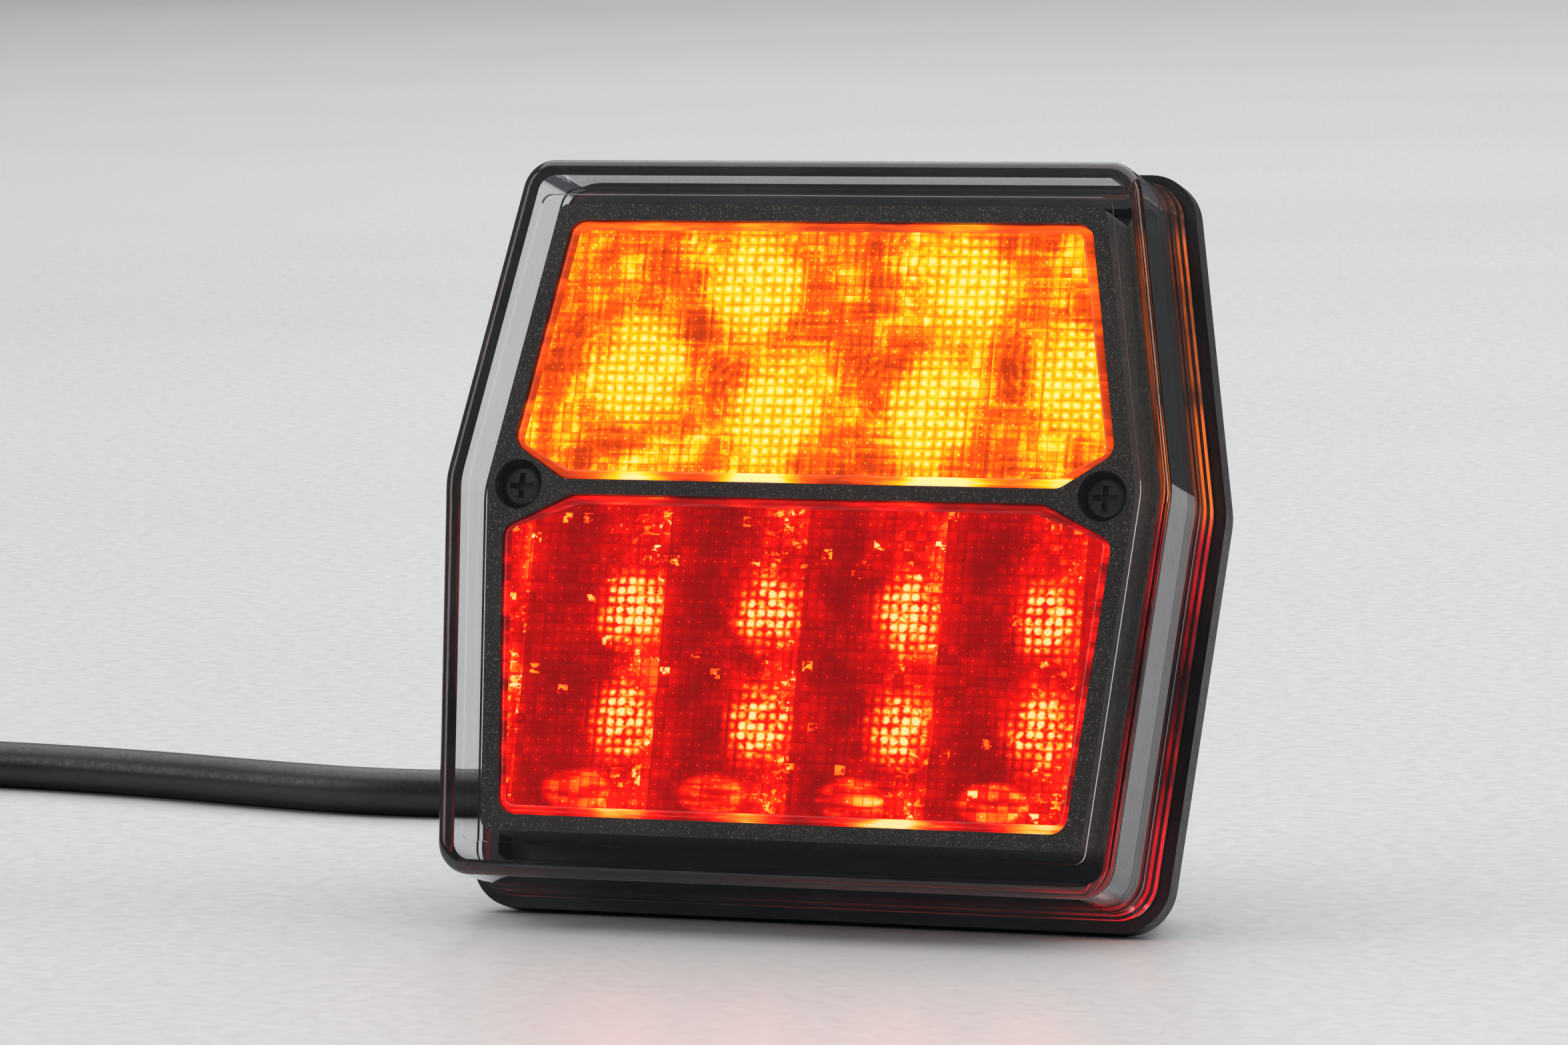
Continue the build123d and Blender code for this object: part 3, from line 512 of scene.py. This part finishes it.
def border_material(name, look, leds, low_edge, top_edge):
    """The smooth rim round the pillows: dark red, with bright streaks that run along it."""
    shade = Shade(name)
    calc, span = shade.calc, shade.span
    x, y, _ = shade.split(shade.at)
    streak = shade.noise(70.0, 3.0, 0.6, stretch=(1.0, 5.0, 1.0))
    fine = shade.noise(500.0, 2.0, 0.5, stretch=(0.4, 4.0, 1.0))
    glow = calc("MULTIPLY", span(streak, 0.35, 0.7, 0.1, look["border"]), span(fine, 0.3, 0.7, 0.8, 1.2))
    for led in leds:
        away = calc("DIVIDE", calc("SUBTRACT", x, led.x + GLOW_SHIFT.x), 4.5 * MM)
        lit = calc("EXPONENT", calc("MULTIPLY", calc("MULTIPLY", away, away), -1.0))
        near_low = span(y, (low_edge + 0.9) * MM, (low_edge + 1.5) * MM, 0.62, 0.0)
        near_top = span(y, (top_edge - 1.5) * MM, (top_edge - 0.9) * MM, 0.0, 0.12)
        glow = calc("ADD", glow, calc("MULTIPLY", lit, calc("ADD", near_low, near_top)))
    colour = shade.ramp(glow, *glowing(look["stops"], look["strength"]))
    return shade.finish(shade.plastic({
        "Base Color": look["tint"],
        "Roughness": 0.1,
        "IOR": ACRYLIC_IOR,
        "Emission Color": colour,
        "Emission Strength": look["strength"],
    }))


amber_face = lens_material("amber_pillows", amber_leds, AMBER_LOOK, amber_floor)
red_face = lens_material("red_pillows", red_leds, RED_LOOK, red_floor)
amber_border = border_material("amber_border", AMBER_LOOK, amber_leds, AMBER["bottom"], AMBER["top"])
red_columns = [led for led in red_leds if led.y < RED_MIDDLE_Y]
red_border = border_material("red_border", RED_LOOK, red_columns, RED["bottom"], RED["top"])

amber_lens = lens_piece("amber_lens_optic", AMBER, amber_face, amber_border)
red_lens = lens_piece("red_lens_optic", RED, red_face, red_border)
for lens, node, slot in ((amber_lens, "amber_lens", "amber_lens"), (red_lens, "red_lens", "red_lens")):
    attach(lens, "lamp")
    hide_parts(node)

# ---------------------------------------------------------------- cable, coil and tail
CABLE_R = 3.4
STRAP_T = 0.8
EXIT_X, EXIT_Y, TAIL_LENGTH = -16.6, -26.0, 18.0
FIRST_RUN = 16.0
ROUTE = [                                  # run, heading in degrees, height at its end
    (17.0, 116.0, 9.3),
    (19.0, 142.0, 6.1),
    (20.0, 168.0, 4.2),
    (21.0, 196.0, CABLE_R),
    (20.0, 186.0, CABLE_R),
    (20.0, 168.0, CABLE_R),
    (20.0, 164.0, CABLE_R),
    (24.0, 170.0, CABLE_R),
    (24.0, 176.0, CABLE_R),
    (22.0, 180.0, CABLE_R + STRAP_T),      # up onto the strap's thickness
]
COIL_R, TURNS, TURN_POINTS = 36.0, 2.25, 14
MOVE_IN, RISE, MOVE_BACK = (0.72, 0.28), (1.4, 0.25), (1.55, 0.25)   # start and length, in turns
PLUG_R, END_RUN, END_DRIFT = 12.0, 15.0, 1.0
STRAP_W, STRAP_ANGLE = 4.0, 135.0
STRAP_HEAD, STRAP_HEAD_IN, STRAP_HEAD_UP, STRAP_HEAD_EDGE = (3.0, 5.0, 4.4), 0.6, 0.4, 0.4


def part_done(turn, stretch):
    start, length = stretch
    return min(max((turn - start) / length, 0.0), 1.0)


def cable_points():
    """The cable's route over the table, round its coil and into the plug, and the coil's middle."""
    exit_point = on_lamp(EXIT_X, EXIT_Y, -TAIL_LENGTH) / MM
    way = (on_lamp(0, 0, -1) - on_lamp(0, 0, 0)).normalized()
    points = [exit_point, exit_point + way * FIRST_RUN]
    for run, heading, height in ROUTE:
        angle = math.radians(heading)
        last = points[-1]
        points.append(Vector((last.x + run * math.cos(angle), last.y + run * math.sin(angle), height)))
    low = points[-1].z
    high = low + 2 * CABLE_R
    outer, inner = COIL_R + CABLE_R, COIL_R - CABLE_R
    centre = Vector((points[-1].x - COIL_R / 2, points[-1].y - outer, 0.0))
    bulge = 1 / math.cos(math.pi / TURN_POINTS)    # the curve passes inside its points
    steps = round(TURNS * TURN_POINTS)
    for step in range(steps + 1):
        turn = step / TURN_POINTS
        angle = math.pi / 2 + 2 * math.pi * turn
        radius = outer + (inner - outer) * part_done(turn, MOVE_IN) + CABLE_R * part_done(turn, MOVE_BACK)
        height = low + (high - low) * part_done(turn, RISE)
        reach = radius * bulge if step else radius
        points.append(centre + Vector((reach * math.cos(angle), reach * math.sin(angle), height)))
    leave_y = centre.y - math.sqrt((COIL_R + 2 * CABLE_R) ** 2 - COIL_R ** 2)
    left = centre.x - COIL_R
    points += [
        Vector((left, leave_y, high)),
        Vector((left - END_DRIFT, leave_y - END_RUN, PLUG_R)),
        Vector((left - END_DRIFT, leave_y - 2 * END_RUN, PLUG_R)),
    ]
    return points, Vector((centre.x, centre.y, low))


def cable_material():
    """Slightly glossy black sheath with a fine grain."""
    shade = Shade("cable_sheath")
    fine = shade.noise(1400.0, 4.0, 0.6)
    cloud = shade.noise(40.0, 3.0)
    colour = shade.blend(shade.span(cloud, 0.35, 0.65), (0.006, 0.006, 0.007), (0.016, 0.016, 0.018))
    return shade.finish(shade.plastic({
        "Base Color": colour,
        "Roughness": shade.span(fine, 0.3, 0.7, 0.3, 0.46),
        "Normal": shade.bump(fine, 0.3, 0.03 * MM),
    }))


def cable_curve(points):
    """One open spline, as thick as the cable, over the route's points."""
    curve = bpy.data.curves.new("cable_lead", "CURVE")
    curve.dimensions = "3D"
    curve.bevel_depth = CABLE_R * MM
    curve.bevel_resolution = 6
    curve.use_fill_caps = True
    spline = curve.splines.new("NURBS")
    spline.points.add(len(points) - 1)
    for target, point in zip(spline.points, points):
        target.co = (*(point * MM), 1.0)
    spline.order_u = 3
    spline.use_endpoint_u = True
    spline.resolution_u = 8
    piece = bpy.data.objects.new("cable_lead", curve)
    scene.collection.objects.link(piece)
    curve.materials.append(cable_material())
    return piece


def strap_piece(coil_centre):
    """The tie's band, drawn tight round the coil's three strands, with its head outside."""
    strands = [Vector((-CABLE_R, 0.0)), Vector((CABLE_R, 0.0)), Vector((0.0, 2 * CABLE_R))]

    def band(reach):
        corners = []
        for i, strand in enumerate(strands):
            to_before = (strands[i - 1] - strand).normalized()
            to_after = (strands[(i + 1) % 3] - strand).normalized()
            half = to_before.angle(to_after) / 2
            corners.append(strand - (to_before + to_after).normalized() * (reach / math.sin(half)))
        return round_off(corners, reach, 10)

    def build(model):
        rings = []
        for reach, side in ((CABLE_R, -1), (CABLE_R + STRAP_T, -1), (CABLE_R + STRAP_T, 1), (CABLE_R, 1)):
            ring = []
            for point in band(reach):
                at = Vector((point.x, side * STRAP_W / 2, point.y))
                ring.append(model.verts.new(at * MM))
            rings.append(ring)
        for ring, following in zip(rings, rings[1:] + rings[:1]):
            for i in range(len(ring)):
                j = (i + 1) % len(ring)
                model.faces.new((ring[i], ring[j], following[j], following[i]))
        head = bmesh.ops.create_cube(model, size=1.0)["verts"]
        out = 2 * CABLE_R + STRAP_T + STRAP_HEAD[0] / 2 - STRAP_HEAD_IN
        spot = Matrix.Translation(Vector((out, 0.0, STRAP_HEAD_UP)) * MM)
        size = Matrix.Diagonal((*[side * MM for side in STRAP_HEAD], 1.0))
        bmesh.ops.transform(model, matrix=spot @ size, verts=head)
        edges = {edge for vertex in head for edge in vertex.link_edges}
        bmesh.ops.bevel(model, geom=list(edges), offset=STRAP_HEAD_EDGE * MM, segments=2, affect="EDGES")

    stand = Matrix.Translation(coil_centre * MM) @ Matrix.Rotation(math.radians(STRAP_ANGLE), 4, "Z")
    return new_piece("coil_strap", build, [], stand @ Matrix.Translation((COIL_R * MM, 0.0, 0.0)))


lead_points, coil_centre = cable_points()
lead = cable_curve(lead_points)
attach(lead, "lamp")
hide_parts("cable", "cable_coil", "cable_end")
strap = strap_piece(coil_centre)
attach(strap, "lamp")
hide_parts("coil_tie")

# ---------------------------------------------------------------- materials of the carried-over parts
BLACK = ((0.006, 0.006, 0.007), (0.015, 0.015, 0.017))
finishes = {
    "rear_housing": moulded("housing_black", *BLACK, 0.42, grain=700.0, depth=0.05),
    "cover_seal": moulded("seal_rubber", (0.012, 0.012, 0.012), (0.03, 0.03, 0.03), 0.7),
    "clear_cover": clear_plastic("cover_clear", (0.96, 0.97, 0.98), 0.01),
    "bezel": moulded("bezel_black", (0.010, 0.009, 0.008), (0.018, 0.017, 0.015), 0.4,
                     grain=1500.0, depth=0.06, speckle=(0.13, 0.11, 0.085)),
    "amber_tray": moulded("tray_white", (0.75, 0.75, 0.72), (0.85, 0.85, 0.83), 0.35),
    "led_board": moulded("board_black", (0.006, 0.007, 0.007), (0.012, 0.013, 0.013), 0.35, grain=1200.0),
    "amber_leds": moulded("led_amber", (0.8, 0.5, 0.05), (0.9, 0.65, 0.1), 0.25),
    "red_leds": moulded("led_red", (0.7, 0.05, 0.03), (0.8, 0.1, 0.06), 0.25),
    "resistors": moulded("component_black", (0.01, 0.01, 0.01), (0.03, 0.03, 0.03), 0.35),
    "terminal_block": moulded("terminal_grey", (0.3, 0.31, 0.32), (0.4, 0.41, 0.42), 0.5),
    "bezel_screws": metal("screw_black", (0.09, 0.088, 0.085), 0.32),
    "board_screws": metal("screw_zinc", (0.6, 0.6, 0.58), 0.35),
    "cable_grommet": moulded("grommet_rubber", (0.01, 0.01, 0.01), (0.022, 0.022, 0.022), 0.6),
    "cable_sheath_end": lead.data.materials[0],
    "inner_cable_tie": moulded("tie_nylon", (0.012, 0.012, 0.012), (0.025, 0.025, 0.025), 0.38),
    "core_green": moulded("core_green", (0.01, 0.16, 0.04), (0.02, 0.22, 0.06), 0.4),
    "core_brown": moulded("core_brown", (0.09, 0.04, 0.02), (0.13, 0.06, 0.03), 0.4),
    "core_white": moulded("core_white", (0.7, 0.7, 0.68), (0.8, 0.8, 0.78), 0.4),
    "core_red": moulded("core_red", (0.45, 0.02, 0.015), (0.55, 0.03, 0.02), 0.4),
    "core_yellow": moulded("core_yellow", (0.7, 0.5, 0.02), (0.8, 0.6, 0.03), 0.4),
    "plug_body": moulded("plug_black", *BLACK, 0.45, grain=800.0, depth=0.05),
    "plug_insert": moulded("plug_insert", (0.02, 0.02, 0.02), (0.04, 0.04, 0.04), 0.5),
    "plug_contacts": metal("contact_brass", (0.75, 0.55, 0.25), 0.25),
    "plug_lock_ring": moulded("ring_yellow", (0.75, 0.42, 0.01), (0.85, 0.5, 0.02), 0.42),
}
same_as = {
    "red_tray": "amber_tray",
    "diodes": "resistors",
    "mounting_studs": "board_screws",
    "coil_tie": "inner_cable_tie",
    "plug_nut": "plug_body",
    "plug_snap_ring": "plug_body",
}
for name, node in frame["nodes"].items():
    finish = finishes.get(same_as.get(name, name))
    if finish is None:
        continue
    for slot in node.material_slots:
        slot.material = finish
strap.data.materials.append(finishes["inner_cable_tie"])


# ---------------------------------------------------------------- floor and studio light
def floor_material():
    shade = Shade("studio_floor")
    cloud = shade.noise(1.5, 3.0)
    fine = shade.noise(400.0, 4.0)
    colour = shade.blend(shade.span(cloud, 0.3, 0.7), (0.62, 0.615, 0.61), (0.66, 0.655, 0.65))
    return shade.finish(shade.plastic({
        "Base Color": colour,
        "Roughness": shade.span(fine, 0.3, 0.7, 0.32, 0.4),
        "Normal": shade.bump(fine, 0.05, 0.02 * MM),
    }))


def build_floor(model):
    bmesh.ops.create_grid(model, x_segments=8, y_segments=8, size=15.0)


floor = new_piece("studio_floor", build_floor, [floor_material()])


def soft_light(name, at, aim, size, power):
    data = bpy.data.lights.new(name, "AREA")
    data.shape = "RECTANGLE"
    data.size, data.size_y = size
    data.energy = power
    light = bpy.data.objects.new(name, data)
    light.location = at
    light.visible_camera = False
    light.rotation_euler = (Vector(aim) - Vector(at)).to_track_quat("-Z", "Y").to_euler()
    scene.collection.objects.link(light)


soft_light("overhead_softbox", (0.0, 2.2, 2.4), (0, 2.2, 0), (4.5, 6.0), 190.0)
soft_light("left_softbox", (-1.4, -0.9, 0.8), (0, 0, 0.05), (0.7, 1.0), 6.0)
soft_light("right_softbox", (1.3, 0.3, 0.6), (0, 0, 0.05), (0.4, 1.0), 5.0)

world = bpy.data.worlds.new("studio")
world.use_nodes = True
world.node_tree.nodes["Background"].inputs["Color"].default_value = (0.9, 0.93, 1.0, 1.0)
world.node_tree.nodes["Background"].inputs["Strength"].default_value = 0.1
scene.world = world
